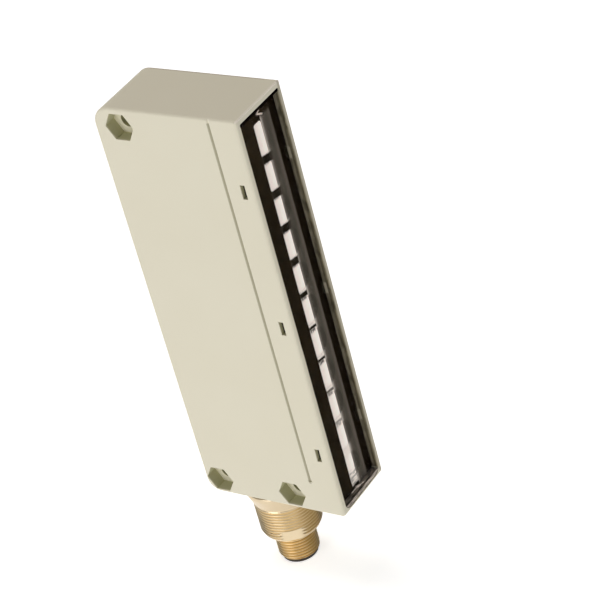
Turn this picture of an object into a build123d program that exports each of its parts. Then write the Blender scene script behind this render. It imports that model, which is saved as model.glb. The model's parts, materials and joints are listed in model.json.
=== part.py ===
from build123d import *
import os
from math import cos, radians, sin

# Head of a safety light curtain: a flat moulded housing that stands upright, with a window
# down its narrow front, a column of small optics behind the window and a brass connector below.
# Millimetres. The origin is midway between the two lower mounting holes, on the mid-plane of
# the housing. The connector's axis runs through it. +Z runs up the housing, the window looks
# along -Y, and the mounting holes run along X with their nut pockets in the -X side.
os.makedirs("parts", exist_ok=True)

# Housing outline
depth = 45.0
width = 20.5
height = 125.0
wall = 2.0
edge_radius = 0.6
bottom_front_radius = 1.15
top_back_radius = 5.5
bottom_back_radius = 4.0

# Mounting holes and nut pockets, for M4 screws
hole_up = 4.65
lower_hole_from_front = 16.1
lower_hole_from_back = 4.9
upper_hole_from_top = 5.4
upper_hole_from_back = 7.8
mounting_hole_radius = 2.1
boss_radius = 5.4
nut_across_flats = 7.6
nut_pocket_depth = 3.8

# Window opening and the clips along it
rim_side = 1.25
rim_top = 1.5
rim_bottom = 1.1
opening_lower_radius = 2.4
opening_upper_radius = 0.4
opening_depth = 4.8
clip_count = 3
clip_spacing = 41.8
clip_slot_length = 4.2
clip_slot_front = 2.75
clip_slot_back = 4.2

# Grooves down both sides
groove_from_front = 8.6
groove_width = 0.9
groove_depth = 0.3
groove_foot_up = 10.6
groove_foot_width = 1.5
groove_foot_height = 1.6

# Optics
beam_count = 11
beam_top_margin = 11.9
beam_bottom_margin = 9.2
cell_width = 3.3
cell_height = 7.9
cell_corner_radius = 0.8
end_cell_extra = 1.35
mask_from_front = 2.14
lens_bar_width = 12.1
lens_bar_bulge = 0.95
optics_board_from_front = 8.0
optics_board_thickness = 1.2
optics_board_side_gap = 0.85
optics_board_beyond_beam = 4.75
rail_width = 1.5
rail_thickness = 1.0
rail_short_of_beam = 6.25
foot_width = 0.9
foot_length = 6.0
foot_beams_apart = 6
seal_thickness = 0.3
diode_width = 3.2
diode_length = 2.8
diode_height = 1.0
dome_radius = 0.95

# Fits between pieces
slip = 0.05
part_gap = 0.15

# Cover
cover_recess = 0.15
cover_thickness = 0.8
cover_wall = 0.85
hook_reach = 0.9
hook_length = 3.6
leg_end_from_front = 4.35

# Connector: collar, outer thread, inner thread
collar_radius = width / 2
collar_rim_height = 1.5
collar_height = 5.2
outer_thread_radius = 9.0
outer_thread_end = 16.7
outer_chamfer_height = 1.4
outer_chamfer = 0.8
flat_across = 16.0
flat_height = 3.4
flat_azimuth = 216.0
inner_thread_radius = 6.0
inner_thread_end = 25.8
inner_chamfer = 0.5
insert_end = 26.9
socket_radius = 4.2
socket_depth = 8.0
pin_circle_radius = 3.5
pin_radius = 0.5
connector_bore_radius = 4.9
neck_radius = 5.6
neck_length = 13.25
neck_nut_height = 3.0
neck_nut_flats = 14.0
neck_end_gap = 0.1
seal_groove_inner = 1.0
seal_groove_outer = 2.4
seal_groove_depth = 1.2
insert_rim = 0.3
insert_rise = 3.65
key_width = 1.2
key_reach = 0.6
key_azimuth = 22.5
pin_tail = 3.6
pin_recess = 1.2
pin_chamfer = 0.15

# Main board, its screws and the leads to it
board_thickness = 1.6
board_corner_radius = 0.8
board_above_neck = 6.9
board_below_boss = 2.55
board_behind_optics = 2.8
board_back_gap = 5.0
wire_radius = 0.6
wire_bend_radius = 1.3
lowest_lead_up = 4.0
standoff_radius = 2.4
standoff_rise = 1.6
lower_standoff_up = 14.35
upper_standoff_down = 21.15
screw_radius = 0.9
screw_clearance = 0.2
screw_grip = 2.0
screw_hole_spare = 0.4
screw_head_rise = 1.1
screw_head_chamfer = 0.25

# Components on the main board, placed from its edges
row_from_edge = 6.5
chip_chamfer = 0.2
can_edge_radius = 0.5
processor_side = 7.0
processor_rise = 1.4
processor_down = 30.0
processor_spacing = 10.0
driver_width = 6.0
driver_length = 10.0
driver_down = 31.15
small_chip_rise = 1.75
regulator_side = 6.5
regulator_rise = 2.3
inductor_radius = 3.2
inductor_rise = 3.2
supply_up = 26.35
capacitor_radius = 2.5
capacitor_rise = 5.4
capacitor_from_edge = 5.0
capacitor_up = 14.55
capacitor_spacing = 5.8
switch_width = 5.0
switch_length = 6.0
switch_up = 6.35
switch_spacing = 9.0
link_length = 16.0
link_thickness = 3.4
link_overlap = 3.0
link_edge_radius = 0.3

# Derived places
lower_hole_spacing = depth - lower_hole_from_front - lower_hole_from_back
front = -lower_hole_from_front - lower_hole_spacing / 2
back = front + depth
bottom = -hole_up
top = bottom + height
side = width / 2
mid_up = (bottom + top) / 2
upper_hole_y = back - upper_hole_from_back
upper_hole_z = top - upper_hole_from_top
lower_hole_y = lower_hole_spacing / 2
opening_half = side - rim_side
cavity_half = side - wall
mask_front = front + mask_from_front
opening_back = front + opening_depth
neck_top = bottom + neck_length
neck_nut_bottom = neck_top - neck_nut_height - neck_end_gap
beam_span = height - beam_top_margin - beam_bottom_margin
beam_pitch = beam_span / (beam_count - 1)
beam_mid = bottom + beam_bottom_margin + beam_span / 2
optics_half = cavity_half - optics_board_side_gap
optics_board_front = front + optics_board_from_front
optics_board_back = optics_board_front + optics_board_thickness
board_back_face = cavity_half - standoff_rise
board_face = board_back_face - board_thickness
board_bottom = neck_top + board_above_neck
board_top = upper_hole_z - boss_radius - board_below_boss
board_front = optics_board_back + board_behind_optics
board_back = back - wall - board_back_gap
board_mid_y = (board_front + board_back) / 2
standoff_heights = [board_bottom + lower_standoff_up, board_top - upper_standoff_down]


def facing_front(y):
    """A plane parallel to the window, looking out of it, at the given Y."""
    return Plane.XZ.offset(-y)


def beam_heights():
    """Z of each beam, from the bottom up."""
    return [bottom + beam_bottom_margin + index * beam_pitch for index in range(beam_count)]


def cell_spans():
    """Middle Z and height of each cell. The two end cells reach further outwards."""
    extra = [0.0] * beam_count
    extra[0] = -end_cell_extra
    extra[-1] = end_cell_extra
    return [(z + reach / 2, cell_height + abs(reach)) for z, reach in zip(beam_heights(), extra)]


def mounting_holes():
    """Y and Z of the three holes through the housing."""
    return [(-lower_hole_y, 0), (lower_hole_y, 0), (upper_hole_y, upper_hole_z)]


def clip_heights():
    """Z of the middle of each clip."""
    return [mid_up + (index - (clip_count - 1) / 2) * clip_spacing for index in range(clip_count)]


def pin_places():
    """X and Y of the four pins of the connector."""
    angles = [90.0 * index for index in range(4)]
    return [(pin_circle_radius * cos(radians(a)), pin_circle_radius * sin(radians(a))) for a in angles]


def round_corner(across, which_side, which_end, radius):
    """Rounds one corner of the sketch in hand: a side across the sketch, then its lower or upper end."""
    corner = vertices().group_by(across)[which_side].sort_by(Axis.Y)[which_end]
    fillet(corner, radius)


def window_outline(inset):
    """Draws the window opening's shape, smaller by inset all round: square above, round below."""
    low = bottom + rim_bottom + inset
    high = top - rim_top - inset
    with Locations((0, (low + high) / 2)):
        Rectangle(2 * (opening_half - inset), high - low)
    fillet(vertices().group_by(Axis.Y)[0], opening_lower_radius - inset)
    if opening_upper_radius > inset:
        fillet(vertices().group_by(Axis.Y)[-1], opening_upper_radius - inset)


# Housing: one moulding, closed at the back, open along the front
with BuildPart() as housing:
    with BuildSketch(Plane.YZ.offset(-side)):
        with Locations(((front + back) / 2, mid_up)):
            Rectangle(depth, height)
        round_corner(Axis.X, -1, -1, top_back_radius)
        round_corner(Axis.X, -1, 0, bottom_back_radius)
        round_corner(Axis.X, 0, 0, bottom_front_radius)
    extrude(amount=width)
    fillet(housing.faces().filter_by(Axis.X).edges(), edge_radius)

    # Opening that the cover and the mask frame sit in
    with BuildSketch(facing_front(front)):
        window_outline(0)
    extrude(amount=-opening_depth, mode=Mode.SUBTRACT)

    # Cavity for the boards, leaving a solid boss round each mounting hole
    with BuildSketch(Plane.YZ):
        with Locations(((opening_back + back - wall) / 2, mid_up)):
            Rectangle(back - wall - opening_back, height - 2 * wall)
        round_corner(Axis.X, -1, -1, top_back_radius - wall)
        round_corner(Axis.X, -1, 0, bottom_back_radius - wall)
        with Locations(*mounting_holes()):
            Circle(boss_radius, mode=Mode.SUBTRACT)
        with Locations(((upper_hole_y + back) / 2, (upper_hole_z + top) / 2)):
            Rectangle(back - upper_hole_y, top - upper_hole_z, mode=Mode.SUBTRACT)
    extrude(amount=cavity_half, both=True, mode=Mode.SUBTRACT)

    # Tube that the connector's neck passes through
    with BuildSketch(Plane.XY.offset(bottom)):
        Circle(neck_radius + wall)
    extrude(amount=neck_nut_bottom - bottom)

    # Rails behind the optics board
    rail_x = cavity_half - rail_width / 2
    rail_y = optics_board_back + rail_thickness / 2
    rail_half = beam_span / 2 - rail_short_of_beam
    with BuildSketch(Plane.XY.offset(beam_mid - rail_half)):
        with Locations((rail_x, rail_y), (-rail_x, rail_y)):
            Rectangle(rail_width, rail_thickness)
    extrude(amount=2 * rail_half)

    # Standoffs for the main board, with blind holes for its screws
    with BuildSketch(Plane.YZ.offset(board_back_face)):
        with Locations(*[(board_mid_y, z) for z in standoff_heights]):
            Circle(standoff_radius)
    extrude(amount=standoff_rise)
    with BuildSketch(Plane.YZ.offset(board_back_face)):
        with Locations(*[(board_mid_y, z) for z in standoff_heights]):
            Circle(screw_radius)
    extrude(amount=screw_grip + screw_hole_spare, mode=Mode.SUBTRACT)

    # Slots that the cover's hooks catch in
    with BuildSketch(Plane.YZ.offset(-side)):
        with Locations(*[(front + (clip_slot_front + clip_slot_back) / 2, z) for z in clip_heights()]):
            Rectangle(clip_slot_back - clip_slot_front, clip_slot_length)
    extrude(amount=width, mode=Mode.SUBTRACT)

    # Shallow V groove down each side, open at the top, with a pointed foot
    groove_y = front + groove_from_front
    groove_foot = bottom + groove_foot_up
    with BuildSketch(Plane.XY.offset(groove_foot)):
        with BuildLine():
            Polyline(
                (-side, groove_y - groove_width / 2),
                (-side + groove_depth, groove_y),
                (-side, groove_y + groove_width / 2),
                close=True,
            )
        make_face()
        mirror(about=Plane.YZ)
    extrude(amount=top - groove_foot, mode=Mode.SUBTRACT)
    for face_x in (-side, side - groove_depth):
        with BuildSketch(Plane.YZ.offset(face_x)):
            with BuildLine():
                Polyline(
                    (groove_y - groove_foot_width / 2, groove_foot),
                    (groove_y + groove_foot_width / 2, groove_foot),
                    (groove_y, groove_foot + groove_foot_height),
                    close=True,
                )
            make_face()
        extrude(amount=groove_depth, mode=Mode.SUBTRACT)

    # Mounting holes and the pockets that hold their nuts
    with BuildSketch(Plane.YZ.offset(-side)):
        with Locations(*mounting_holes()):
            Circle(mounting_hole_radius)
    extrude(amount=width, mode=Mode.SUBTRACT)
    with BuildSketch(Plane.YZ.offset(-side)):
        with Locations(*mounting_holes()):
            RegularPolygon(nut_across_flats / 2, 6, major_radius=False)
    extrude(amount=nut_pocket_depth, mode=Mode.SUBTRACT)

    # Hole for the connector's neck
    with BuildSketch(Plane.XY.offset(bottom)):
        Circle(neck_radius)
    extrude(amount=neck_top - bottom, mode=Mode.SUBTRACT)

# Cover: a clear tray with three hooks down each side
cover_half = opening_half - part_gap
hook_front = front + clip_slot_front + part_gap
with BuildPart() as window_cover:
    with BuildSketch(facing_front(front + cover_recess)):
        window_outline(part_gap)
    extrude(amount=-(mask_from_front - cover_recess))
    with BuildSketch(facing_front(mask_front)):
        window_outline(part_gap + cover_wall)
    extrude(amount=mask_from_front - cover_recess - cover_thickness, mode=Mode.SUBTRACT)
    for z in clip_heights():
        with BuildSketch(Plane.XY.offset(z - hook_length / 2)):
            with BuildLine():
                Polyline(
                    (cover_half - cover_wall, front + cover_recess + cover_thickness),
                    (cover_half, front + cover_recess + cover_thickness),
                    (cover_half, hook_front),
                    (cover_half + hook_reach, hook_front),
                    (cover_half - cover_wall / 3, front + leg_end_from_front),
                    (cover_half - cover_wall, front + leg_end_from_front),
                    close=True,
                )
            make_face()
            mirror(about=Plane.YZ)
        extrude(amount=hook_length)

# Lens bar: clear, flat behind and gently domed in front
lens_bar_bottom = bottom + rim_bottom + 2 * part_gap + cover_wall
lens_bar_top = top - rim_top - 2 * part_gap - cover_wall
with BuildPart() as lens_bar:
    with BuildSketch(Plane.XY.offset(lens_bar_bottom)):
        with BuildLine():
            half_chord = lens_bar_width / 2
            ThreePointArc(
                (-half_chord, mask_front), (0, mask_front - lens_bar_bulge), (half_chord, mask_front)
            )
            Line((half_chord, mask_front), (-half_chord, mask_front))
        make_face()
    extrude(amount=lens_bar_top - lens_bar_bottom)

# Mask frame: black, one opening per beam, notched for the cover's legs
mask_back = opening_back - seal_thickness
with BuildPart() as mask_frame:
    with BuildSketch(facing_front(mask_front)):
        window_outline(part_gap)
        for z, cell_span in cell_spans():
            with Locations((0, z)):
                RectangleRounded(cell_width, cell_span, cell_corner_radius, mode=Mode.SUBTRACT)
        for z in clip_heights():
            with Locations((cover_half, z), (-cover_half, z)):
                Rectangle(2 * (cover_wall + part_gap), clip_slot_length, mode=Mode.SUBTRACT)
    extrude(amount=-(mask_back - mask_front))
    # Feet that hold the optics board against its rails
    foot_x = optics_half - foot_width / 2
    with BuildSketch(facing_front(mask_back)):
        with Locations((0, beam_mid)):
            with GridLocations(2 * foot_x, foot_beams_apart * beam_pitch, 2, 2):
                Rectangle(foot_width, foot_length)
    extrude(amount=-(optics_board_front - mask_back))

# Seal between the mask frame and the ledge round the cavity
seal_width = opening_half - cavity_half - part_gap
with BuildPart() as frame_seal:
    with BuildSketch(facing_front(mask_back)):
        window_outline(part_gap)
    extrude(amount=-seal_thickness)
    with BuildSketch(facing_front(mask_back)):
        window_outline(part_gap + seal_width)
    extrude(amount=-seal_thickness, mode=Mode.SUBTRACT)

# Optics board, standing behind the mask frame
with BuildPart() as optics_board:
    with BuildSketch(facing_front(optics_board_front)):
        with Locations((0, beam_mid)):
            RectangleRounded(2 * optics_half, beam_span + 2 * optics_board_beyond_beam, board_corner_radius)
    extrude(amount=-optics_board_thickness)

# Main board, flat against the standoffs on the +X wall
with BuildPart() as main_board:
    with BuildSketch(Plane.YZ.offset(board_face)):
        with Locations((board_mid_y, (board_bottom + board_top) / 2)):
            RectangleRounded(board_back - board_front, board_top - board_bottom, board_corner_radius)
        with Locations(*[(board_mid_y, z) for z in standoff_heights]):
            Circle(screw_radius + screw_clearance, mode=Mode.SUBTRACT)
    extrude(amount=board_thickness)

# Plug block that joins the two boards
link_back = board_front + link_overlap
with BuildPart() as board_link:
    with BuildSketch(Plane.XY.offset(mid_up - link_length / 2)):
        with Locations((board_face - link_thickness / 2, (optics_board_back + link_back) / 2)):
            Rectangle(link_thickness, link_back - optics_board_back)
    extrude(amount=link_length)
    fillet(board_link.faces().filter_by(Axis.X).sort_by(Axis.X)[0].edges(), link_edge_radius)

# Screws that hold the main board
for index, z in enumerate(standoff_heights):
    with BuildPart() as board_screw:
        with BuildSketch(Plane.YZ.offset(board_face)):
            with Locations((board_mid_y, z)):
                Circle(screw_radius)
        extrude(amount=board_thickness + screw_grip)
        with BuildSketch(Plane.YZ.offset(board_face)):
            with Locations((board_mid_y, z)):
                Circle(2 * screw_radius)
        extrude(amount=-screw_head_rise)
        chamfer(board_screw.faces().sort_by(Axis.X)[0].edges(), screw_head_chamfer)
    board_screw.part.label = "board_screw_" + str(index + 1)
    export_step(board_screw.part, "parts/" + board_screw.part.label + ".step")


def chip(size_y, size_z, rise, y, z):
    """A square component standing on the main board, with softened top edges."""
    with BuildPart() as block:
        with BuildSketch(Plane.YZ.offset(board_face)):
            with Locations((y, z)):
                Rectangle(size_y, size_z)
        extrude(amount=-rise)
        chamfer(block.faces().sort_by(Axis.X)[0].edges(), chip_chamfer)
    return block.part


def can(radius, rise, y, z):
    """A round component standing on the main board."""
    with BuildPart() as round_can:
        with BuildSketch(Plane.YZ.offset(board_face)):
            with Locations((y, z)):
                Circle(radius)
        extrude(amount=-rise)
        fillet(round_can.faces().sort_by(Axis.X)[0].edges(), can_edge_radius)
    return round_can.part


def processor(index):
    """One of the two processors, counted from the top of the board."""
    z = board_top - processor_down - index * processor_spacing
    return chip(processor_side, processor_side, processor_rise, rear_row, z)


def capacitor(index):
    """One of the two smoothing capacitors, counted from the bottom of the board."""
    z = board_bottom + capacitor_up + index * capacitor_spacing
    return can(capacitor_radius, capacitor_rise, board_back - capacitor_from_edge, z)


def output_switch(index):
    """One of the two safety outputs, counted from the bottom of the board."""
    z = board_bottom + switch_up + index * switch_spacing
    return chip(switch_width, switch_length, small_chip_rise, front_row, z)


# Components on the main board, in a front row and a rear row
front_row = board_front + row_from_edge
rear_row = board_back - row_from_edge
supply_z = board_bottom + supply_up
main_board_pieces = {
    "processor_a": processor(0),
    "processor_b": processor(1),
    "driver_chip": chip(driver_width, driver_length, small_chip_rise, front_row, board_top - driver_down),
    "regulator": chip(regulator_side, regulator_side, regulator_rise, rear_row, supply_z),
    "inductor": can(inductor_radius, inductor_rise, front_row, supply_z),
    "capacitor_a": capacitor(1),
    "capacitor_b": capacitor(0),
    "output_switch_a": output_switch(1),
    "output_switch_b": output_switch(0),
}
for label, piece in main_board_pieces.items():
    piece.label = label
    export_step(piece, "parts/" + label + ".step")

# One white cell in each opening of the mask, and one diode behind it on the optics board
for index, (z, cell_span) in enumerate(cell_spans()):
    with BuildPart() as beam_cell:
        with BuildSketch(facing_front(mask_front)):
            with Locations((0, z)):
                RectangleRounded(cell_width - 2 * slip, cell_span - 2 * slip, cell_corner_radius - slip)
        extrude(amount=-(mask_back - mask_front))
    beam_cell.part.label = "beam_cell_" + str(index + 1)
    export_step(beam_cell.part, "parts/" + beam_cell.part.label + ".step")
for index, z in enumerate(beam_heights()):
    with BuildPart() as diode:
        with BuildSketch(facing_front(optics_board_front)):
            with Locations((0, z)):
                Rectangle(diode_width, diode_length)
        extrude(amount=diode_height)
        with Locations((0, optics_board_front - diode_height, z)):
            Sphere(dome_radius)
    diode.part.label = "diode_" + str(index + 1)
    export_step(diode.part, "parts/" + diode.part.label + ".step")

# Connector body: turned brass, collar, outer thread with two flats, inner thread, hollow neck
with BuildPart() as connector_body:
    with BuildSketch(Plane.XZ):
        with BuildLine():
            Polyline(
                (connector_bore_radius, neck_top),
                (neck_radius - slip, neck_top),
                (neck_radius - slip, bottom),
                (collar_radius, bottom),
                (collar_radius, bottom - collar_rim_height),
                (outer_thread_radius, bottom - collar_height),
                (outer_thread_radius, bottom - outer_thread_end + outer_chamfer_height),
                (outer_thread_radius - outer_chamfer, bottom - outer_thread_end),
                (inner_thread_radius, bottom - outer_thread_end),
                (inner_thread_radius, bottom - inner_thread_end + inner_chamfer),
                (inner_thread_radius - inner_chamfer, bottom - inner_thread_end),
                (connector_bore_radius, bottom - inner_thread_end),
                close=True,
            )
        make_face()
    revolve(axis=Axis.Z)
    # Groove for the seal under the housing
    with BuildSketch(Plane.XY.offset(bottom)):
        Circle(neck_radius + seal_groove_outer)
        Circle(neck_radius + seal_groove_inner, mode=Mode.SUBTRACT)
    extrude(amount=-seal_groove_depth, mode=Mode.SUBTRACT)
    # Spanner flats at the lower end of the outer thread
    flat_depth = outer_thread_radius - flat_across / 2
    with BuildSketch(Plane.XY.offset(bottom - outer_thread_end)):
        with Locations(Rotation(0, 0, flat_azimuth)):
            with GridLocations(flat_across + flat_depth, 1, 2, 1):
                Rectangle(flat_depth, 2 * outer_thread_radius)
    extrude(amount=flat_height, mode=Mode.SUBTRACT)

# Seal in the collar's groove
with BuildPart() as connector_seal:
    with BuildSketch(Plane.XY.offset(bottom)):
        Circle(neck_radius + seal_groove_outer - slip)
        Circle(neck_radius + seal_groove_inner + slip, mode=Mode.SUBTRACT)
    extrude(amount=-seal_groove_depth)

# Nut inside the housing that draws the connector up
with BuildPart() as connector_nut:
    with BuildSketch(Plane.XY.offset(neck_nut_bottom)):
        RegularPolygon(neck_nut_flats / 2, 6, major_radius=False, rotation=30)
        Circle(neck_radius, mode=Mode.SUBTRACT)
    extrude(amount=neck_nut_height)

# Insert: black, holds the pins, with the socket for the plug
insert_top = bottom + insert_rise
with BuildPart() as connector_insert:
    with BuildSketch(Plane.XY.offset(bottom - insert_end)):
        Circle(inner_thread_radius - inner_chamfer - insert_rim)
    extrude(amount=insert_end - inner_thread_end)
    with BuildSketch(Plane.XY.offset(bottom - inner_thread_end)):
        Circle(connector_bore_radius - slip)
    extrude(amount=inner_thread_end + insert_top - bottom)
    with BuildSketch(Plane.XY.offset(bottom - insert_end)):
        Circle(socket_radius)
        with Locations(Rotation(0, 0, key_azimuth)):
            with Locations((socket_radius, 0)):
                Rectangle(key_reach * 2, key_width, mode=Mode.SUBTRACT)
    extrude(amount=socket_depth, mode=Mode.SUBTRACT)
    with BuildSketch(Plane.XY.offset(bottom - insert_end)):
        with Locations(*pin_places()):
            Circle(pin_radius)
    extrude(amount=insert_end + insert_top - bottom, mode=Mode.SUBTRACT)

# Pins and the leads from them to the main board
pin_top = insert_top + pin_tail
pin_tip = bottom - insert_end + pin_recess
for index, (pin_x, pin_y) in enumerate(pin_places()):
    with BuildPart() as contact_pin:
        with BuildSketch(Plane.XY.offset(pin_tip)):
            with Locations((pin_x, pin_y)):
                Circle(pin_radius)
        extrude(amount=pin_top - pin_tip)
        chamfer(contact_pin.faces().sort_by(Axis.Z)[0].edges(), pin_chamfer)
    contact_pin.part.label = "contact_pin_" + str(index + 1)
    export_step(contact_pin.part, "parts/" + contact_pin.part.label + ".step")

    lead_height = board_bottom + lowest_lead_up + pin_circle_radius - pin_x
    with BuildPart() as lead:
        with BuildLine() as lead_path:
            rise = Line((pin_x, pin_y, pin_top), (pin_x, pin_y, lead_height - wire_bend_radius))
            bend = TangentArc(
                rise @ 1,
                (pin_x + wire_bend_radius, pin_y, lead_height),
                tangent=(0, 0, 1),
            )
            Line(bend @ 1, (board_face, pin_y, lead_height))
        with BuildSketch(Plane(rise @ 0, z_dir=(0, 0, 1))):
            Circle(wire_radius)
        sweep()
    lead.part.label = "lead_" + str(index + 1)
    export_step(lead.part, "parts/" + lead.part.label + ".step")

single_pieces = {
    "housing": housing,
    "window_cover": window_cover,
    "lens_bar": lens_bar,
    "mask_frame": mask_frame,
    "frame_seal": frame_seal,
    "optics_board": optics_board,
    "main_board": main_board,
    "board_link": board_link,
    "connector_body": connector_body,
    "connector_seal": connector_seal,
    "connector_nut": connector_nut,
    "connector_insert": connector_insert,
}
for label, piece in single_pieces.items():
    piece.part.label = label
    export_step(piece.part, "parts/" + label + ".step")
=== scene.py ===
# %% [markdown]
# # A safety light curtain head in Blender
#
# The object is a flat box of pale plastic that stands upright. A column of eleven white cells
# looks out of a narrow window in its front, and a brass connector leaves it below. It could be
# modelled here from nothing, but its solids exist as a CAD model. So this script loads them,
# gives them their finishes, cuts the threads, and sets the floor, the light and the camera.

import json
import math

import bpy
import numpy as np
from mathutils import Matrix, Vector


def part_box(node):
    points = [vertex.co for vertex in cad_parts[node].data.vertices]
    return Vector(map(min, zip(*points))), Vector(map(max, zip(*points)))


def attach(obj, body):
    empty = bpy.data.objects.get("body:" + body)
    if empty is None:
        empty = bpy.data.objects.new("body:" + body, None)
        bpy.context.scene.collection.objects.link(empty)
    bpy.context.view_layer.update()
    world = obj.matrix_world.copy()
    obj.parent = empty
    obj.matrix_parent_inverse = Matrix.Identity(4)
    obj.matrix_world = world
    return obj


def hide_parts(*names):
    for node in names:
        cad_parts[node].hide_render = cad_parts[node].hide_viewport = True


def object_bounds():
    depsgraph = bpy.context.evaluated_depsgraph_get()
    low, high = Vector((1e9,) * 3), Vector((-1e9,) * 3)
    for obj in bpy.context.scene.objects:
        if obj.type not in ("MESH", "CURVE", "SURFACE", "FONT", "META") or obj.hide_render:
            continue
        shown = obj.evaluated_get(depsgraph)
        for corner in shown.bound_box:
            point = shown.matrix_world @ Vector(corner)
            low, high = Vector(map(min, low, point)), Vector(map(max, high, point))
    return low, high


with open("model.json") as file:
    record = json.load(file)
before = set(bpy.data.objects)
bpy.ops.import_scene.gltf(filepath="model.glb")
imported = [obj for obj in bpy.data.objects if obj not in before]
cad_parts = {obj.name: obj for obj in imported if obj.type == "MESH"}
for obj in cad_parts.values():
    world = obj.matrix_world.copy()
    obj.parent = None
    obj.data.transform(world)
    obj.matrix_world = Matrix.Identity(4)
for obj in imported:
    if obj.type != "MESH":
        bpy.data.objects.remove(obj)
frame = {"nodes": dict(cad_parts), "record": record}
MM = 0.001


def plain(bounds):
    """Bounds as plain lists of numbers, so that they can be written as JSON."""
    return [[float(value) for value in corner] for corner in bounds]


def in_mm(bounds):
    """Bounds in millimetres, rounded for printing."""
    return [[round(value / MM, 2) for value in corner] for corner in bounds]


bounds_at_load = plain(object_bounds())
print("solids:", len(frame["nodes"]), "bounds in mm:", in_mm(bounds_at_load))

# %% [markdown]
# ## Camera first
#
# Everything else is judged through the camera, so it comes first. A long lens seen from above
# and from the window's left shows the side, the top and the window at once, and the head leans
# in the frame because the camera is rolled. The place and the turn could be set by eye, but here
# they were solved from corners and holes whose real places are known, and that is exact.

# %% Camera
camera_place = (-405.686, -363.713, 399.128)
camera_right = (0.5086, -0.8315, -0.2236)
camera_up = (0.5697, 0.1303, 0.8115)
camera_back = (-0.6456, -0.5400, 0.5400)
focal_in_pixels = 2432.0
picture_width = 600

camera_data = bpy.data.cameras.new("camera")
camera_data.sensor_width = 36.0
camera_data.lens = focal_in_pixels / picture_width * camera_data.sensor_width
camera_data.clip_start = 0.05
camera_data.clip_end = 20.0
camera = bpy.data.objects.new("camera", camera_data)
turn = Matrix((camera_right, camera_up, camera_back)).transposed().to_4x4()
camera.matrix_world = Matrix.Translation([v * MM for v in camera_place]) @ turn
bpy.context.scene.collection.objects.link(camera)
bpy.context.scene.camera = camera
print("lens in mm:", round(camera_data.lens, 1))

# %% [markdown]
# ## Writing shader maths as Python
#
# A finish is a small graph of nodes. Each node could be placed and wired by hand in the shader
# editor, but a graph of a hundred nodes is hard to read there. Here one class wraps a socket and
# lets Python's own signs add the Math nodes. A second class makes any other node from its type,
# its settings and the values of its sockets, so that a finish reads like a short sum.


# %% A socket that can be reckoned with
class Signal:
    """A socket that can be added to, multiplied and compared like a number."""

    def __init__(self, tree, socket):
        self.tree = tree
        self.socket = socket

    def maths(self, operation, first, second=0.0):
        node = self.tree.nodes.new("ShaderNodeMath")
        node.operation = operation
        for target, value in zip(node.inputs, (first, second)):
            if isinstance(value, Signal):
                self.tree.links.new(value.socket, target)
            else:
                target.default_value = value
        return Signal(self.tree, node.outputs[0])

    def __add__(self, other):
        return self.maths("ADD", self, other)

    def __radd__(self, other):
        return self.maths("ADD", other, self)

    def __sub__(self, other):
        return self.maths("SUBTRACT", self, other)

    def __rsub__(self, other):
        return self.maths("SUBTRACT", other, self)

    def __mul__(self, other):
        return self.maths("MULTIPLY", self, other)

    def __rmul__(self, other):
        return self.maths("MULTIPLY", other, self)

    def __truediv__(self, other):
        return self.maths("DIVIDE", self, other)

    def __rtruediv__(self, other):
        return self.maths("DIVIDE", other, self)

    def __gt__(self, other):
        return self.maths("GREATER_THAN", self, other)

    def __lt__(self, other):
        return self.maths("LESS_THAN", self, other)

    def __abs__(self):
        return self.maths("ABSOLUTE", self)

    def root(self):
        """The square root."""
        return self.maths("SQRT", self)

    def most(self, other):
        """The larger of the two."""
        return self.maths("MAXIMUM", self, other)

    def repeat(self, length):
        """The distance from the middle of a length that repeats: -length / 2 to length / 2."""
        return self.maths("FLOORED_MODULO", self + length / 2, length) - length / 2


print("ways to use a socket:", sum(callable(item) for item in vars(Signal).values()))


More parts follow.
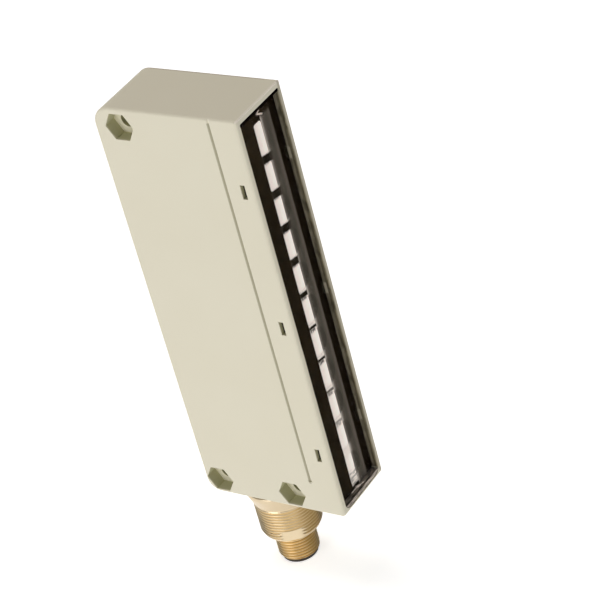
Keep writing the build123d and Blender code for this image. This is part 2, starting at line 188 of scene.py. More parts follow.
# %% A finish, made node by node
class Finish:
    """One material and the nodes it takes."""

    def __init__(self, name):
        self.material = bpy.data.materials.new(name)
        self.material.use_nodes = True
        self.tree = self.material.node_tree
        self.tree.nodes.clear()

    def node(self, kind, settings=None, sockets=None, out=0):
        """Any node: its type, its settings, its sockets, and which output is wanted, if any."""
        made = self.tree.nodes.new(kind)
        for key, value in (settings or {}).items():
            if key == "stops":
                ramp = made.color_ramp
                while len(ramp.elements) < len(value):
                    ramp.elements.new(1.0)
                for element, (place, colour) in zip(ramp.elements, value):
                    element.position = place
                    element.color = (*colour, 1.0)
            else:
                setattr(made, key, value)
        for key, value in (sockets or {}).items():
            target = made.inputs[key]
            if isinstance(value, Signal):
                self.tree.links.new(value.socket, target)
            elif isinstance(value, tuple) and len(value) == 3 and target.type == "RGBA":
                target.default_value = (*value, 1.0)
            else:
                target.default_value = value
        return None if out is None else Signal(self.tree, made.outputs[out])

    def place(self):
        """The place on the object in millimetres, as a vector."""
        coordinates = self.node("ShaderNodeTexCoord", out="Object")
        return self.scaled(coordinates, 1 / MM)

    def axes(self):
        """The same place as three numbers."""
        place = self.place()
        return [
            self.node("ShaderNodeSeparateXYZ", None, {"Vector": place}, out) for out in range(3)
        ]

    def noise(self, size, detail=3.0, stretch=(1.0, 1.0, 1.0)):
        """Cloudy noise from 0 to 1, with lumps of about that size in millimetres."""
        lumps = self.node(
            "ShaderNodeVectorMath",
            {"operation": "MULTIPLY"},
            {0: self.place(), 1: tuple(1.0 / (size * s) for s in stretch)},
        )
        return self.node(
            "ShaderNodeTexNoise", None, {"Vector": lumps, "Scale": 1.0, "Detail": detail}
        )

    def rise(self, value, start, end):
        """0 before start, 1 after end, and a soft rise between them."""
        return self.node(
            "ShaderNodeMapRange",
            {"interpolation_type": "SMOOTHSTEP"},
            {"Value": value, "From Min": start, "From Max": end, "To Min": 0.0, "To Max": 1.0},
        )

    def spot(self, value, middle, half, soft):
        """1 within half of the middle, 0 beyond it, with a soft edge."""
        return 1.0 - self.rise(abs(value - middle), half - soft / 2, half + soft / 2)

    def stroke(self, across, up, start, end, half):
        """1 along a short straight line from start to end, with soft edges."""
        run, rise = end[0] - start[0], end[1] - start[1]
        length = math.hypot(run, rise)
        run, rise = run / length, rise / length
        along = (across - start[0]) * run + (up - start[1]) * rise
        beside = (up - start[1]) * run - (across - start[0]) * rise
        line = self.spot(beside, 0.0, half, half)
        return line * self.spot(along, length / 2, length / 2, 4 * half)

    def ramp(self, value, stops):
        """A colour that follows the value through the stops."""
        return self.node("ShaderNodeValToRGB", {"stops": stops}, {"Fac": value})

    def blend(self, share, first, second):
        """A colour between two colours."""
        return self.node(
            "ShaderNodeMix", {"data_type": "RGBA"}, {0: share, 6: first, 7: second}, out=2
        )

    def scaled(self, vector, factor):
        """A colour or a place times a number."""
        return self.node(
            "ShaderNodeVectorMath", {"operation": "SCALE"}, {"Vector": vector, "Scale": factor}
        )

    def bump(self, height, distance):
        """A bump whose full height is the distance in millimetres."""
        return self.node(
            "ShaderNodeBump", None, {"Height": height, "Distance": distance * MM, "Strength": 1.0}
        )

    def solid(self, **sockets):
        """The general shader. Underscores in the names stand for spaces."""
        named = {key.replace("_", " "): value for key, value in sockets.items()}
        return self.node("ShaderNodeBsdfPrincipled", None, named)

    def mix(self, share, first, second):
        """A shader between two shaders."""
        return self.node("ShaderNodeMixShader", None, {0: share, 1: first, 2: second})

    def show(self, shader):
        """Ends the finish with its output and hands over the material."""
        self.node("ShaderNodeOutputMaterial", None, {"Surface": shader}, out=None)
        print(self.material.name + ":", len(self.tree.nodes), "nodes")
        return self.material


def wear(node, finish):
    """Puts a finish on a piece: a CAD solid by its name, or a new mesh."""
    piece = frame["nodes"][node] if isinstance(node, str) else node
    piece.data.materials.clear()
    piece.data.materials.append(finish)


print("ways to use a finish:", sum(callable(item) for item in vars(Finish).values()))

# %% [markdown]
# ## Housing plastic
#
# The housing is moulded in a warm, pale grey plastic with a slight sheen. A fine grain comes
# from the spark-eroded mould. It could be a flat colour, but real mouldings vary a little in
# tone, so soft noise moves the colour by a few parts in a hundred and a finer noise makes the
# grain as a bump. The grooves, the pockets and the edges get painted shade, painted highlights
# and a darker line along the far top by their places on the housing, because an image would
# need unwrapping and would blur at such narrow lines.

# %% Housing measures
housing_low, housing_high = [[value / MM for value in corner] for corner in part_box("housing")]
front_y, bottom_z = housing_low[1:]
side_x, back_y, top_z = housing_high
# In mm: the groove behind the front, its ends short of the housing's, and the nut pockets
GROOVE_FROM_FRONT = 8.6
groove_y = front_y + GROOVE_FROM_FRONT
GROOVE_FOOT = 10.0
GROOVE_HEAD = 1.3
POCKET_DEPTH = 3.8
# The radii of the two back corners, and the layers that count as side, rim and outline
BACK_TOP_RADIUS = 5.5
BACK_BOTTOM_RADIUS = 4.0
SIDE_SKIN = 0.35
RIM_DEPTH = 2.0
CORNER_SKIN = 0.2
print("housing in mm:", [round(v, 2) for v in (2 * side_x, back_y - front_y, top_z - bottom_z)])


# %% Housing tones
def inner_walls(x, y, z, on_side):
    """1 on the walls of holes and pockets, for painted shade: within the outline, whose back
    corners are round.
    """
    inside = (1.0 - on_side) * (y > front_y + RIM_DEPTH)
    for radius, middle_z, outward in (
        (BACK_TOP_RADIUS, top_z - BACK_TOP_RADIUS, 1.0),
        (BACK_BOTTOM_RADIUS, bottom_z + BACK_BOTTOM_RADIUS, -1.0),
    ):
        out_y = (y - (back_y - radius)).most(0.0)
        out_z = ((z - middle_z) * outward).most(0.0)
        inside = inside * (out_y * out_y + out_z * out_z < (radius - CORNER_SKIN) ** 2)
    return inside


def groove_tones(f, colour, y, z, on_side):
    """Painted shade on the slope that faces the window, painted highlight on the other edge."""
    shaded, lit = (0.42, 0.39, 0.26), (0.93, 0.90, 0.78)
    along = on_side * (z > bottom_z + GROOVE_FOOT)
    # Painted shade on the groove's slope that faces the window
    shaded_slope = f.spot(y, middle=groove_y + 0.1, half=0.42, soft=0.25)
    shaded_slope = shaded_slope * along * (z < top_z - GROOVE_HEAD)
    # Painted highlight along the groove's other edge
    lit_slope = f.spot(y, middle=groove_y - 0.38, half=0.16, soft=0.15) * along
    colour = f.blend(shaded_slope * 0.8, colour, shaded)
    return f.blend(lit_slope * 0.5, colour, lit)


def edge_tones(f, colour, x, y, z, cloud):
    """A painted highlight above the window, darker along the far top, painted shade on the right.
    """
    highlight_tone, far_edge_tone, shaded = (0.95, 0.87, 0.76), (0.26, 0.19, 0.13), (0.30, 0.26, 0.17)
    # Painted highlight along the top edge above the window
    lip_highlight = f.spot(y, middle=front_y, half=0.5, soft=0.3) * (z > top_z - 0.4)
    colour = f.blend(lip_highlight * 0.6, colour, highlight_tone)
    # Darker along the far top edge
    far_edge = f.rise(x, start=side_x - 1.1, end=side_x - 0.4)
    far_edge = far_edge * (z > top_z - 0.6) * (y > front_y + 4.0)
    colour = f.blend(far_edge * (0.3 + cloud * 0.4), colour, far_edge_tone)
    # Painted shade along the right edge of the front
    right_edge = f.rise(x, start=side_x - 1.6, end=side_x - 1.0) * (y < front_y + 0.3)
    return f.blend(right_edge * 0.5, colour, shaded)


# %% Housing
def housing_plastic():
    f = Finish("housing_plastic")
    x, y, z = f.axes()
    cloud = f.noise(size=30.0, detail=2.0)
    grain = f.noise(size=0.5, detail=2.0)
    pale, paler = (0.765, 0.718, 0.560), (0.805, 0.764, 0.615)
    tone = f.blend(cloud, pale, paler)
    on_side = abs(x) > side_x - SIDE_SKIN
    inside = inner_walls(x, y, z, on_side)
    # Painted light on the pocket floors
    lit_pocket_floor = f.spot(x, middle=POCKET_DEPTH - side_x, half=0.05, soft=0.02) * inside
    tone = f.blend(lit_pocket_floor, tone, (0.95, 0.90, 0.70))
    inside = inside - lit_pocket_floor
    # Painted shade on the walls of the holes and pockets
    colour = f.blend(inside * 0.85, tone, (0.52, 0.51, 0.315))
    colour = groove_tones(f, colour, y, z, on_side)
    colour = edge_tones(f, colour, x, y, z, cloud)
    # A fine step runs along the front of each side, too low to be worth a mesh
    step = f.rise(y, start=front_y + 0.55, end=front_y + 0.75) * (abs(x) > side_x - 0.2)
    height = grain * 0.02 + step * 0.08
    return f.show(
        f.solid(
            Base_Color=colour,
            Roughness=0.5 + grain * 0.1,
            Specular_IOR_Level=0.35,
            Normal=f.bump(height, distance=1.0),
        )
    )


wear("housing", housing_plastic())

# %% [markdown]
# ## Bent light behind the lens bar
#
# A clear domed bar lies in front of the cells and bends the light that comes from them. Right of
# the cells it shows a hazy grey band with a round shadow beside each cell, and dark streaks on
# the webs between the cells. It could be traced with a glass shader, but that takes many light
# paths for a soft pattern a few millimetres wide. Here the pattern is drawn on the mask and the
# cells instead: it stays in place from every side, and it can be baked with their colour.

# %% Measures of the cells
CELL_COLOURS = ((0.835, 0.755, 0.68), (0.895, 0.82, 0.745))
CELL_GLOW = 0.34
# The share of the cells' colour that the bar lets through
THROUGH_BAR = 0.93
# In mm: the right edge of the cells from the middle, and the height of the mask's openings
CELL_EDGE = 1.75
OPENING_HEIGHT = 7.9
# How much the streaks on the webs rise to the right
WEB_TILT = 0.18
lens_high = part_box("lens_bar")[1]
lens_half, mask_front = lens_high[0] / MM, lens_high[1] / MM
cell_boxes = [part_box(name) for name in ("beam_cell_5", "beam_cell_6")]
cell_mids = [(low[2] + high[2]) / 2 / MM for low, high in cell_boxes]
cell_pitch = cell_mids[1] - cell_mids[0]
web_half = (cell_pitch - OPENING_HEIGHT) / 2
print("pitch of the cells in mm:", round(cell_pitch, 2), "web:", round(2 * web_half, 2))


# %% The hazy flank
def hazy_flank(f, x, height, from_cell, cloud):
    """The grey band right of the cells, with the round shadow of each cell's optic."""
    flank = f.ramp(
        (x - CELL_EDGE) / (lens_half - CELL_EDGE),
        (
            (0.02, (0.60, 0.53, 0.46)),
            (0.08, (0.38, 0.34, 0.30)),
            (0.18, (0.150, 0.127, 0.108)),
            (0.29, (0.095, 0.079, 0.064)),
            (0.53, (0.069, 0.058, 0.047)),
            (0.76, (0.090, 0.074, 0.061)),
            (0.87, (0.130, 0.108, 0.088)),
            (1.00, (0.070, 0.060, 0.048)),
        ),
    )
    optic_middle, optic_half_width, optic_half_height = 1.8, 2.7, 3.9
    optic_x = (x - optic_middle) / optic_half_width
    optic_z = from_cell / optic_half_height
    optic = 1.0 - f.rise(optic_x * optic_x + optic_z * optic_z, start=0.8, end=1.05)
    fading_upwards = 1.0 - f.rise(height, start=0.7, end=0.95)
    flank = f.blend(optic * fading_upwards * 0.65, flank, (0.032, 0.027, 0.019))
    return f.blend(cloud * 0.35, flank, (0.060, 0.064, 0.045))


# %% The streaky webs
def web_streaks(f, x, height, tilted, fine):
    """The webs between the cells: dark above, thin and streaky lower down, gone at the foot."""
    thin_half = 0.45
    dark_half = f.rise(height, start=0.42, end=0.66) * (web_half - thin_half) + thin_half
    wavy = abs(tilted + (fine - 0.5) * 0.5)
    streak = 1.0 - f.rise(wavy, start=dark_half - 0.25, end=dark_half + 0.2)
    smear = f.spot(x, middle=-0.2, half=1.1, soft=0.6)
    smear = smear * f.spot(tilted, middle=-0.7, half=0.75, soft=0.7)
    smear = smear * f.rise(fine, start=0.28, end=0.5)
    streak = streak.most(smear * 0.85)
    streak = streak * (0.55 + f.rise(height, start=0.16, end=0.36) * 0.45)
    return streak * f.rise(height, start=0.13, end=0.17)


# %% Both together
def bent_light(f, x, z):
    """What the lens bar shows over mask and cells: its colour, and how much it covers."""
    cloud = f.noise(size=2.5, detail=3.0, stretch=(1.0, 1.0, 2.0))
    fine = f.noise(size=0.7, detail=2.0)
    height = (z - bottom_z) / (top_z - bottom_z)
    from_cell = (z - cell_mids[0]).repeat(cell_pitch)
    from_web = (z - cell_mids[0] - cell_pitch / 2).repeat(cell_pitch)
    flank = hazy_flank(f, x, height, from_cell, cloud)
    tilted = from_web + x * WEB_TILT
    streak = web_streaks(f, x, height, tilted, fine)
    foot = f.spot(z - bottom_z, middle=5.8, half=2.5, soft=0.3)
    slanted = f.noise(size=1.0, detail=2.0, stretch=(3.0, 1.0, 0.7))
    streak = streak.most(foot * f.rise(slanted, start=0.45, end=0.62) * 0.55)
    dimmed = [tuple(THROUGH_BAR * part for part in shade) for shade in CELL_COLOURS]
    white = f.blend(fine, *dimmed)
    web = f.blend(streak, white, (0.012, 0.009, 0.005))
    on_cell = f.spot(x, middle=0.115, half=1.565, soft=0.15)
    near_web = f.spot(from_web, middle=0.0, half=web_half + 0.75, soft=0.3)
    near_web = near_web * f.spot(height, middle=0.49, half=0.40, soft=0.01)
    dark_web = f.spot(tilted, middle=0.0, half=web_half, soft=0.5)
    dark_web = dark_web * f.rise(height, start=0.55, end=0.70) * (height < 0.9)
    hazy = f.rise(x, start=CELL_EDGE - 0.17, end=CELL_EDGE + 0.11) * (x < lens_half)
    hazy = hazy * (1.0 - dark_web * (1.0 - f.rise(x, start=1.8, end=3.7)))
    # The band ends with the bar, just below the cover's top wall
    hazy = hazy * (1.0 - f.rise(z - bottom_z, start=118.4, end=119.8))
    return f.blend(on_cell, flank, web), hazy.most(on_cell * near_web.most(foot))


# %% [markdown]
# ## Black mask
#
# Behind the cover a black frame keeps stray light out of the cells. It is moulded and nearly
# matt. A plain black would do for the frame alone, but its front also carries the bent light, so
# that light's colour is both its base colour and its faint glow there.


# %% Mask
def mask_plastic():
    f = Finish("mask_plastic")
    x, y, z = f.axes()
    grain = f.noise(size=0.4, detail=2.0)
    cloud = f.noise(size=9.0, detail=2.0, stretch=(1.0, 1.0, 3.0))
    black = f.blend(cloud, (0.012, 0.007, 0.002), (0.036, 0.024, 0.012))
    beyond_bar = f.rise(x, start=lens_half, end=lens_half + 0.5)
    black = f.blend(beyond_bar * 0.7, black, (0.003, 0.001, 0.0))
    bent, covered = bent_light(f, x, z)
    on_front = covered * (y < mask_front + 0.01)
    colour = f.blend(on_front, black, bent)
    glow = f.blend(on_front, (0.0, 0.0, 0.0), bent)
    return f.show(
        f.solid(
            Base_Color=colour,
            Roughness=0.8,
            Specular_IOR_Level=0.0,
            Emission_Color=glow,
            Emission_Strength=CELL_GLOW,
            Normal=f.bump(grain, distance=0.01),
        )
    )


wear("mask_frame", mask_plastic())

# %% [markdown]
# ## White cells
#
# A milky white cell fills each opening of the mask. It scatters light inside, so it looks
# brighter than paint would. Subsurface scattering could be traced, but it is slow and noisy for
# pieces this small, so a little emission, a painted glow, stands for the scattered light. The
# glow is stronger on the right, painted light that keeps the cells evenly bright across.


# %% Cells
def painted_glow_across(f, x):
    """The painted glow of a cell, weak at its left edge and strong at its right one."""
    return 0.58 + f.rise(x, start=-2.2, end=2.4) * 0.95


def cell_white():
    f = Finish("cell_white")
    x, _, z = f.axes()
    cloud = f.noise(size=3.0, detail=2.0)
    # Painted shade along each cell's left rim
    left_rim_shade = f.rise(x, start=-1.42, end=-1.58)
    colour = f.blend(left_rim_shade, f.blend(cloud, *CELL_COLOURS), (0.06, 0.05, 0.035))
    bent, covered = bent_light(f, x, z)
    colour = f.blend(covered, colour, bent)
    # Painted glow, stronger on the right
    glow = f.scaled(colour, painted_glow_across(f, x))
    return f.show(
        f.solid(
            Base_Color=colour,
            Roughness=0.35,
            Emission_Color=glow,
            Emission_Strength=CELL_GLOW,
        )
    )


cell_finish = cell_white()
cells = sorted(name for name in frame["nodes"] if name.startswith("beam_cell_"))
for name in cells:
    wear(name, cell_finish)
print("cells:", len(cells))

# %% [markdown]
# ## Lens bar
#
# The clear bar itself is flat behind and domed in front. A glass shader would bend the light a
# second time, because the bend is drawn on the mask already. So the bar is a mix of a
# transparent and a glossy shader, and it shines only at grazing angles, as clear plastic does.


# %% Lens bar
def clear_shader(f, roughness):
    """See-through, with a slight gloss at grazing angles."""
    clear = f.node("ShaderNodeBsdfTransparent", None, {"Color": (0.98, 0.98, 0.98)})
    gloss = f.node(
        "ShaderNodeBsdfGlossy", None, {"Color": (1.0, 1.0, 1.0), "Roughness": roughness}
    )
    shine = f.node("ShaderNodeLayerWeight", None, {"Blend": 0.15}, out="Facing")
    return f.mix(shine * 0.008, clear, gloss)


def lens_plastic():
    f = Finish("lens_plastic")
    cloud = f.noise(size=2.5, detail=3.0, stretch=(1.0, 1.0, 2.0))
    return f.show(clear_shader(f, roughness=0.1 + cloud * 0.1))


wear("lens_bar", lens_plastic())

# %% [markdown]
# ## Clear cover
#
# A clear tray closes the window and is held by hooks in the housing's slots. Its pane is
# see-through like the lens bar. Its walls bend what lies behind them, the housing, into an olive
# band with fine streaks, and short glints lie where the pane's ends bend the light. Real glass
# could be traced here too, but lines this fine would take many light paths, so each of these is
# drawn in its place on the tray.

# %% Measures of the cover
# In mm: the mask behind the housing's front, and the hooks apart
MASK_DEPTH = 2.14
CLIP_PITCH = 41.8
# How far the end walls reach in from the housing's ends, and where walls and hooks start
TOP_WALL = 2.45
FOOT_WALL = 2.3
WALL_FROM_X = 8.7
HOOK_FROM_X = 8.9
# Depths behind the housing's front: within the pane, behind the walls, and at the hooks
PANE_DEPTH = 0.3
BEHIND_WALLS = 2.2
HOOK_DEPTH = 2.3
print("hooks of the cover apart in mm:", CLIP_PITCH)


# %% The cover's walls
def wall_colour(f, x, z, depth, blotch):
    """The bent view of the housing in the walls, from the pane back to the mask."""
    strip = f.ramp(
        depth / MASK_DEPTH,
        (
            (0.05, (0.62, 0.54, 0.38)),
            (0.16, (0.42, 0.37, 0.25)),
            (0.34, (0.20, 0.18, 0.11)),
            (0.55, (0.24, 0.21, 0.14)),
            (0.75, (0.42, 0.37, 0.27)),
            (0.94, (0.30, 0.26, 0.18)),
            (1.00, (0.06, 0.05, 0.03)),
        ),
    )
    strip = f.blend(f.rise(blotch, start=0.48, end=0.66) * 0.6, strip, (0.06, 0.055, 0.03))
    streaks = f.noise(size=0.45, detail=2.0, stretch=(1.0, 1.0, 12.0))
    strip = f.blend(f.rise(streaks, start=0.42, end=0.66) * 0.6, strip, (0.09, 0.08, 0.05))
    # Light comes in at the clip slots
    from_clip = (z - (bottom_z + top_z) / 2).repeat(CLIP_PITCH)
    at_clip = f.spot(from_clip, middle=0.0, half=1.7, soft=0.6)
    at_clip = at_clip * f.spot(depth, middle=1.6, half=0.42, soft=0.2) * (0.4 + blotch)
    strip = f.blend(at_clip, strip, (0.62, 0.56, 0.42))
    # The ends of the hooks, seen in the slots
    hook = (abs(x) > HOOK_FROM_X) * (depth > HOOK_DEPTH)
    hook_end = f.spot(depth, middle=3.25, half=0.3, soft=0.3)
    return f.blend(hook, strip, f.blend(hook_end, (0.12, 0.11, 0.07), (0.42, 0.38, 0.27)))


# %% Glints at the ends of the pane
# Start, end and half the width of each line, in mm
TOP_GLINTS = (
    ((-1.7, 122.1), (0.7, 120.9), 0.24),
    ((-1.5, 122.1), (-0.2, 122.6), 0.17),
)
FOOT_GLINTS = (
    ((-5.0, 4.3), (-1.4, 4.2), 0.13),
    ((-2.0, 3.9), (1.2, 3.4), 0.15),
    ((-2.9, 4.9), (-0.8, 4.0), 0.10),
)


def glint_lines(f, x, up, blotch):
    """Short lines on the pane, placed across it and up from the housing's underside."""
    long_glint, short_glint = TOP_GLINTS
    lines = f.stroke(x, up, *long_glint).most(f.stroke(x, up, *short_glint))
    for glint in FOOT_GLINTS:
        broken = f.stroke(x, up, *glint) * f.rise(blotch, start=0.3, end=0.6)
        lines = lines.most(broken)
    return lines


print("glints:", len(TOP_GLINTS) + len(FOOT_GLINTS))


# %% Cover
def cover_plastic():
    f = Finish("clear_plastic")
    x, y, z = f.axes()
    depth = y - front_y
    blotch = f.noise(size=1.6, detail=3.0, stretch=(1.0, 1.0, 2.5))
    strip = wall_colour(f, x, z, depth, blotch)
    # The rim shades the cover's top wall, and the foot wall is a muddle of bent light
    top_wall = z > top_z - TOP_WALL
    foot_wall = z < bottom_z + FOOT_WALL
    muddle = f.rise(f.noise(size=0.9, detail=3.0, stretch=(2.5, 1.0, 0.6)), start=0.28, end=0.64)
    strip = f.blend(foot_wall, strip, f.blend(muddle, (0.10, 0.085, 0.07), (0.78, 0.68, 0.58)))
    strip = f.blend(top_wall, strip, (0.002, 0.001, 0.001))
    wall = f.solid(Base_Color=strip, Roughness=0.3, Specular_IOR_Level=0.0)
    pane = clear_shader(f, roughness=0.05)
    glint_tone = f.blend(blotch, (0.70, 0.57, 0.48), (0.95, 0.82, 0.72))
    glint = f.solid(Base_Color=glint_tone, Roughness=0.3, Specular_IOR_Level=0.1)
    lines = glint_lines(f, x, z - bottom_z, blotch)
    pane = f.mix(lines * (depth < PANE_DEPTH), pane, glint)
    edge = (abs(x) > WALL_FROM_X).most(depth > BEHIND_WALLS)
    edge = edge.most(top_wall).most(foot_wall * 0.85)
    return f.show(f.mix(edge, pane, wall))


wear("window_cover", cover_plastic())

# %% [markdown]
# ## Threads of the connector
#
# The connector is turned from brass bar: a collar, an 18 mm thread with two spanner flats, and
# a 12 mm thread for the plug. The CAD solid has smooth cylinders, so the threads are cut here.
# A screw modifier could sweep a tooth, but one grid of rings whose radius follows the thread's
# ridge as it winds gives the flats and chamfers too, in one clean closed mesh.

# %% Thread
# In mm, but for the steps around
PITCH = 1.0
THREAD_DEPTH = 0.61
ROUND_STEPS = 180
RING_GAP = 0.05
# How steeply the flanks fall, and how flat the crest is
FLANK_SLOPE = 1.25
CREST_SHARE = 0.12
around = np.linspace(0, 2 * np.pi, ROUND_STEPS, endpoint=False)


def ring(z, radius):
    """One ring: its height, and its radius at each step around."""
    return z, np.broadcast_to(radius, around.shape).astype(float)


def thread_radius(crest, z, fade):
    """Radius of the thread at a height, all the way around. fade takes the ridge away."""
    phase = np.mod(z / PITCH - around / (2 * np.pi), 1.0)
    groove = np.clip(FLANK_SLOPE * (1 - np.abs(2 * phase - 1)) - CREST_SHARE, 0, 1)
    groove = groove * groove * (3 - 2 * groove)
    return crest - THREAD_DEPTH * groove * fade


print("rings per turn of the thread:", round(PITCH / RING_GAP))

# %% Neck and collar
# In mm. Heights and ends are measured down from the housing's underside, except the neck's top
BORE_RADIUS = 4.9
NECK_RADIUS = 5.55
NECK_TOP = 8.6
SEAL_GROOVE = (6.6, 8.0)
SEAL_GROOVE_DEPTH = 1.2
COLLAR_HEIGHT = 5.2
WIDE_CREST = 9.0
# The collar's profile: how far down, and the radius there
COLLAR_PROFILE = (
    (0.0, 10.1),
    (0.12, 10.25),
    (1.4, 10.25),
    (1.6, 10.18),
    (5.0, 9.05),
    (COLLAR_HEIGHT, WIDE_CREST),
)


def collar_rings():
    """From the bore over the neck's top and the seal's groove to the collar's foot."""
    seal_inner, seal_outer = SEAL_GROOVE
    groove_floor = bottom_z - SEAL_GROOVE_DEPTH
    neck = [
        ring(NECK_TOP, BORE_RADIUS),
        ring(NECK_TOP, NECK_RADIUS),
        ring(bottom_z, NECK_RADIUS),
        ring(bottom_z, seal_inner),
        ring(groove_floor, seal_inner),
        ring(groove_floor, seal_outer),
        ring(bottom_z, seal_outer),
    ]
    return neck + [ring(bottom_z - down, radius) for down, radius in COLLAR_PROFILE]


print("collar rings:", len(collar_rings()))

# %% Wide thread with its spanner flats
WIDE_START = 5.3
WIDE_END = 16.7
WIDE_CHAMFER, WIDE_CHAMFER_HEIGHT, WIDE_CHAMFER_FROM = 0.8, 1.4, 15.3
WIDE_END_RADIUS = 8.2
FLAT_FROM = 13.3
FLAT_HALF = 8.0
FLAT_AZIMUTHS = (216.0, 36.0)
# Steps that face a flat by less than this share can't reach it, and get a radius beyond all
FACING = 0.3
NO_FLAT = 99.0


def flat_radius():
    """How far out each step around may reach before it would stand over a flat."""
    reach = np.full(ROUND_STEPS, NO_FLAT)
    for azimuth in FLAT_AZIMUTHS:
        away = np.cos(around - math.radians(azimuth))
        to_flat = FLAT_HALF / np.maximum(away, FACING)
        reach = np.minimum(reach, np.where(away > FACING, to_flat, NO_FLAT))
    return reach


def wide_rings():
    """The 18 mm thread, which runs in below the collar and ends in a chamfer."""
    flat = flat_radius()
    rows = []
    for z in np.arange(bottom_z - WIDE_START, bottom_z - WIDE_END, -RING_GAP):
        down = bottom_z - z
        fade = min(1.0, max(0.0, down - COLLAR_HEIGHT))
        radius = thread_radius(WIDE_CREST, z, fade)
        envelope = WIDE_CREST
        if down >= WIDE_CHAMFER_FROM:
            envelope -= WIDE_CHAMFER * (down - WIDE_CHAMFER_FROM) / WIDE_CHAMFER_HEIGHT
        radius = np.minimum(radius, envelope)
        if down > FLAT_FROM:
            radius = np.minimum(radius, flat)
        rows.append(ring(z, radius))
    rows.append(ring(bottom_z - WIDE_END, np.minimum(WIDE_END_RADIUS, flat)))
    return rows


print("wide thread rings:", len(wide_rings()))

# %% Plug thread
PLUG_CREST = 6.0
PLUG_START = 16.75
PLUG_END = 25.8
PLUG_CHAMFER = 0.5
PLUG_CHAMFER_FROM = 25.3
PLUG_END_RADIUS = 5.5
# Below the shoulder the groove starts shallow and deepens over the run-in
RUN_IN = 0.6
SHALLOW = 0.25


def plug_rings():
    """The 12 mm thread, from the shoulder down to its end and round into the bore."""
    rows = [ring(bottom_z - WIDE_END, PLUG_END_RADIUS)]
    for z in np.arange(bottom_z - PLUG_START, bottom_z - PLUG_END, -RING_GAP):
        down = bottom_z - z
        fade = min(1.0, max(0.0, (down - WIDE_END) / RUN_IN) + SHALLOW)
        radius = thread_radius(PLUG_CREST, z, fade)
        envelope = PLUG_CREST
        if down >= PLUG_CHAMFER_FROM:
            envelope -= PLUG_CHAMFER * (down - PLUG_CHAMFER_FROM) / PLUG_CHAMFER
        rows.append(ring(z, np.minimum(radius, envelope)))
    rows.append(ring(bottom_z - PLUG_END, PLUG_END_RADIUS))
    rows.append(ring(bottom_z - PLUG_END, BORE_RADIUS))
    return rows


print("plug thread rings:", len(plug_rings()))


# %% Connector mesh
def ring_mesh(name, rows):
    """A closed mesh from rings that run down the outside and back up the inside."""
    points = [
        (r * math.cos(a) * MM, r * math.sin(a) * MM, z * MM)
        for z, radii in rows
        for a, r in zip(around, radii)
    ]
    faces = []
    for i in range(len(rows)):
        j = (i + 1) % len(rows)
        for k in range(ROUND_STEPS):
            n = (k + 1) % ROUND_STEPS
            row, below = i * ROUND_STEPS, j * ROUND_STEPS
            faces.append((row + k, below + k, below + n, row + n))
    mesh = bpy.data.meshes.new(name)
    mesh.from_pydata(points, [], faces)
    mesh.validate()
    mesh.update()
    piece = bpy.data.objects.new(name, mesh)
    bpy.context.scene.collection.objects.link(piece)
    return piece


SHARP_FROM_DEGREES = 70
threaded_connector = ring_mesh("threaded_connector", collar_rings() + wide_rings() + plug_rings())
for polygon in threaded_connector.data.polygons:
    polygon.use_smooth = True
threaded_connector.data.set_sharp_from_angle(angle=math.radians(SHARP_FROM_DEGREES))
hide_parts("connector_body")
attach(threaded_connector, "root")
print("connector faces:", len(threaded_connector.data.polygons))

# %% [markdown]
# ## Brass
#
# The wide thread and the flats look pale, while the plug's thread has the deeper tone of fresh
# brass and darker grooves. A bare metal shader would only mirror the pale studio and come out
# evenly light. So the tones are laid on by place: painted shade in the grooves by their radius,
# the collar and the flats by their height, and a painted brown shade on the right, as the
# photograph shows it, with a weaker one on the left.

# %% Brass
# The shaded side faces right and forward: its share along x, and its share against y
SHADE_RIGHT, SHADE_FORWARD = 0.51, 0.86
# In mm: the collar's foot, the radius that only the flats stay within, and the shoulder
COLLAR_FOOT = 4.9
WITHIN_FLATS = 8.7
SHOULDER = 16.72


def brass():
    f = Finish("brass")
    x, y, z = f.axes()
    cloud = f.noise(size=4.0, detail=3.0)
    radius = (x * x + y * y).root()
    colour = f.blend(cloud, (0.81, 0.66, 0.43), (0.86, 0.72, 0.50))
    collar = f.rise(z, start=bottom_z - WIDE_START, end=bottom_z - COLLAR_FOOT)
    flats = (z < bottom_z - FLAT_FROM) * (radius < WITHIN_FLATS)
    smooth = collar.most(flats * 0.5)
    smooth_tone = f.blend(cloud, (0.61, 0.50, 0.34), (0.66, 0.55, 0.38))
    colour = f.blend(smooth, colour, smooth_tone)
    # Painted shade in the grooves of the plug's thread
    groove = f.rise(PLUG_CREST - radius, start=0.2, end=0.6)
    plug_thread = z < bottom_z - SHOULDER
    plug_tone = f.blend(groove, (0.90, 0.70, 0.40), (0.48, 0.31, 0.12))
    colour = f.blend(plug_thread, colour, plug_tone)
    towards_right = (x * SHADE_RIGHT - y * SHADE_FORWARD) / radius
    # Painted shade on the right side of the connector, and a weaker one on the left
    right_shade = f.rise(towards_right, start=0.2, end=0.85) * 0.75
    colour = f.blend(right_shade, colour, (0.40, 0.29, 0.13))
    left_shade = f.rise(towards_right, start=-0.5, end=-0.95) * 0.25
    colour = f.blend(left_shade, colour, (0.45, 0.34, 0.16))
    return f.show(f.solid(Base_Color=colour, Metallic=1.0, Roughness=0.25 + cloud * 0.08))


wear(threaded_connector, brass())

# %% [markdown]
# ## Small parts
#
# What sits inside the plug and the housing is hardly seen: boards, chips, pins, seals. They
# could share one grey, but each piece gets the finish of its own material, so that it looks
# right when the housing is opened. One function makes them all, from two tones, the size of the
# speckles, the roughness and whether it is metal, because they differ in nothing else.


# %% Finishes of the small parts
def speckled(name, dark, light, size, rough, metallic=0.0):
    f = Finish(name)
    cloud = f.noise(size, detail=3.0)
    return f.show(
        f.solid(
            Base_Color=f.blend(cloud, dark, light),
            Roughness=rough + cloud * 0.1,
            Metallic=metallic,
            Normal=f.bump(cloud, distance=0.01),
        )
    )


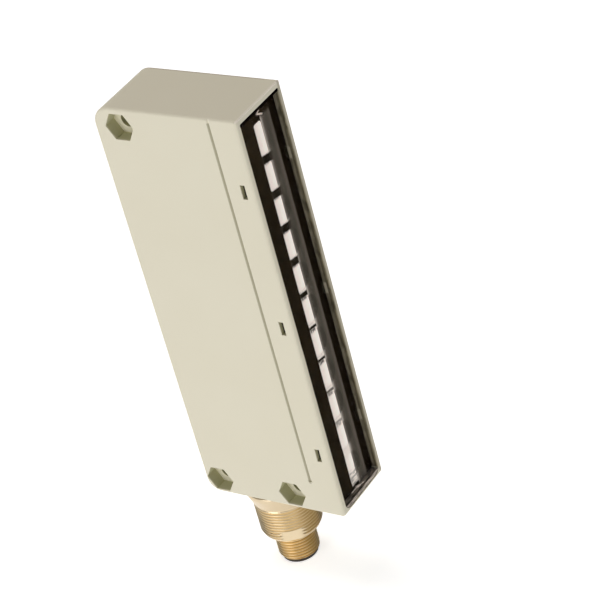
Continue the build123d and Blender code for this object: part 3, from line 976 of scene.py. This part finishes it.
# Dark tone, light tone, size of the speckles in mm, roughness, and 1 for metal
SMALL_LOOKS = {
    "insert_plastic": ((0.02, 0.013, 0.008), (0.04, 0.03, 0.02), 1.0, 0.55),
    "seal_rubber": ((0.02, 0.02, 0.02), (0.05, 0.05, 0.05), 0.8, 0.7),
    "board": ((0.02, 0.12, 0.05), (0.03, 0.18, 0.08), 1.2, 0.35),
    "chip": ((0.015, 0.015, 0.015), (0.04, 0.04, 0.04), 0.5, 0.5),
    "ferrite": ((0.05, 0.045, 0.04), (0.09, 0.08, 0.07), 0.5, 0.6),
    "capacitor_can": ((0.62, 0.62, 0.62), (0.75, 0.75, 0.75), 1.0, 0.25, 1.0),
    "screw_steel": ((0.50, 0.50, 0.50), (0.65, 0.65, 0.63), 0.7, 0.3, 1.0),
    "diode_resin": ((0.08, 0.02, 0.03), (0.14, 0.05, 0.06), 0.7, 0.1),
    "pin_metal": ((0.85, 0.62, 0.25), (0.92, 0.72, 0.35), 0.5, 0.2, 1.0),
    "lead_sleeve": ((0.10, 0.05, 0.03), (0.16, 0.08, 0.05), 0.8, 0.5),
}
small_finishes = {name: speckled(name, *looks) for name, looks in SMALL_LOOKS.items()}
slot_of = {part["node"]: part["material_slot"] for part in frame["record"]["subparts"]}
small_parts = [name for name, slot_name in slot_of.items() if slot_name in small_finishes]
for name in small_parts:
    wear(name, small_finishes[slot_of[name]])
print("small parts:", len(small_parts), "in", len(small_finishes), "finishes")

# %% [markdown]
# ## Floor
#
# The head stands over a plain pale floor that passes under the connector. A floor lit only by
# the lamps would need more light, and that light would also brighten the top of the head. So it
# has a faint glow of its own, as a lit table has in a product studio.


# %% Floor
def floor_paint():
    f = Finish("floor_paint")
    cloud = f.noise(size=120.0, detail=2.0)
    colour = f.blend(cloud, (0.90, 0.90, 0.90), (0.93, 0.93, 0.93))
    return f.show(
        f.solid(
            Base_Color=colour, Roughness=0.9, Emission_Color=colour, Emission_Strength=0.75
        )
    )


floor_z = bounds_at_load[0][2]
floor_reach = 6.0
corners = [(-1, -1), (1, -1), (1, 1), (-1, 1)]
floor_mesh = bpy.data.meshes.new("floor")
floor_mesh.from_pydata(
    [(x * floor_reach, y * floor_reach, floor_z) for x, y in corners], [], [(0, 1, 2, 3)]
)
floor = bpy.data.objects.new("floor", floor_mesh)
bpy.context.scene.collection.objects.link(floor)
wear(floor, floor_paint())
print("floor at z in mm:", round(floor_z / MM, 2))

# %% [markdown]
# ## Light
#
# One wide soft light stands to the left, where the side of the housing is brightest, and a
# slightly warm one hangs above. A picture of a studio could light the scene too, but two square
# lamps are enough for a matt moulding and are easy to move. A weak white world fills the shade.


# %% Light
def soft_light(name, place, aim, width, power, colour=(1.0, 1.0, 1.0)):
    data = bpy.data.lights.new(name, "AREA")
    data.shape = "SQUARE"
    data.size = width
    data.energy = power
    data.color = colour
    light = bpy.data.objects.new(name, data)
    light.location = place
    direction = Vector(aim) - light.location
    light.rotation_euler = direction.to_track_quat("-Z", "Y").to_euler()
    bpy.context.scene.collection.objects.link(light)


head_middle = (0.0, 0.0, 0.05)
soft_light("side_light", (-1.2, 0.25, 0.35), head_middle, width=0.7, power=4.0)
warm = (1.0, 0.955, 0.93)
soft_light("top_light", (0.1, 0.3, 1.4), head_middle, width=0.8, power=9.2, colour=warm)
world = bpy.data.worlds.new("studio")
bpy.context.scene.world = world
world.use_nodes = True
world.node_tree.nodes["Background"].inputs["Color"].default_value = (1.0, 1.0, 1.0, 1.0)
world.node_tree.nodes["Background"].inputs["Strength"].default_value = 0.12
bpy.context.scene.view_settings.view_transform = "Standard"
